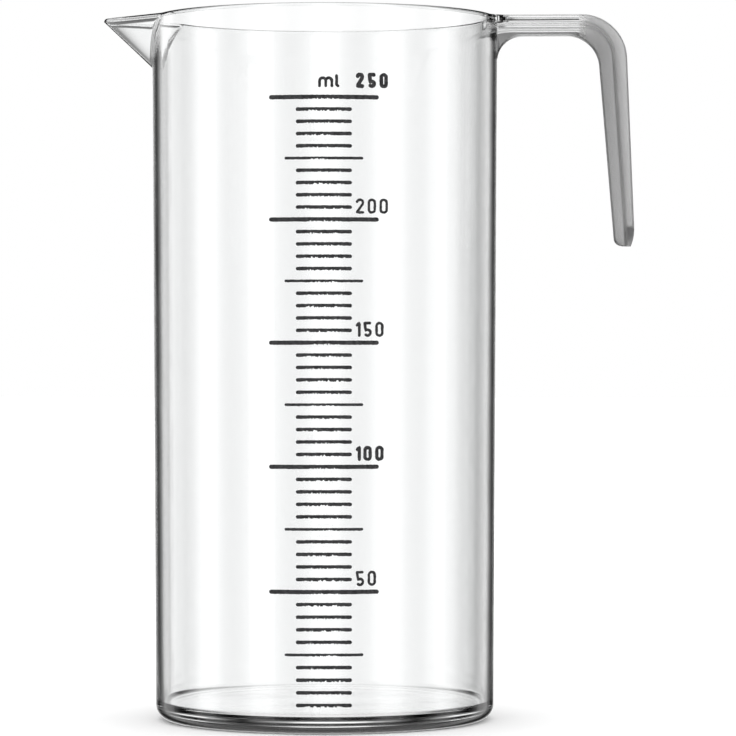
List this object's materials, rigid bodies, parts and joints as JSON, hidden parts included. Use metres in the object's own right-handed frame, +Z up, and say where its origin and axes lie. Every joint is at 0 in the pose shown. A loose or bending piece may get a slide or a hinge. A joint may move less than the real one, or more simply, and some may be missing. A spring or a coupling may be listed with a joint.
{
  "type": "graduated cylinder",
  "caption": "Clear plastic measuring cylinder with a V-shaped pouring spout, an open hook handle and a raised black scale in millilitres.",
  "frame": {"origin": "on the cup's axis, at the underside of the foot, where the cup rests on a table", "axes": "+Z up along the cup's axis, +X through the handle, -X through the spout, -Y through the side that carries the scale"},
  "size_m": [0.0911, 0.0592, 0.12],
  "materials": {
    "clear_plastic": "clear, polished",
    "frosted_plastic": "frosted, satin",
    "black_ink": "hot-stamped ink, satin"
  },
  "bodies": {
    "root": {"cylinder_wall": "clear_plastic", "base": "clear_plastic", "pouring_spout": "clear_plastic", "handle_arm": "clear_plastic", "handle_grip": "frosted_plastic", "unit_mark": "black_ink", "major_line_50": "black_ink", "major_line_100": "black_ink", "major_line_150": "black_ink", "major_line_200": "black_ink", "major_line_250": "black_ink", "half_line_25": "black_ink", "half_line_75": "black_ink", "half_line_125": "black_ink", "half_line_175": "black_ink", "half_line_225": "black_ink", "minor_lines_5_to_20": "black_ink", "minor_lines_30_to_45": "black_ink", "minor_lines_55_to_70": "black_ink", "minor_lines_80_to_95": "black_ink", "minor_lines_105_to_120": "black_ink", "minor_lines_130_to_145": "black_ink", "minor_lines_155_to_170": "black_ink", "minor_lines_180_to_195": "black_ink", "minor_lines_205_to_220": "black_ink", "minor_lines_230_to_245": "black_ink", "number_50": "black_ink", "number_100": "black_ink", "number_150": "black_ink", "number_200": "black_ink", "number_250": "black_ink"}
  },
  "joints": []
}
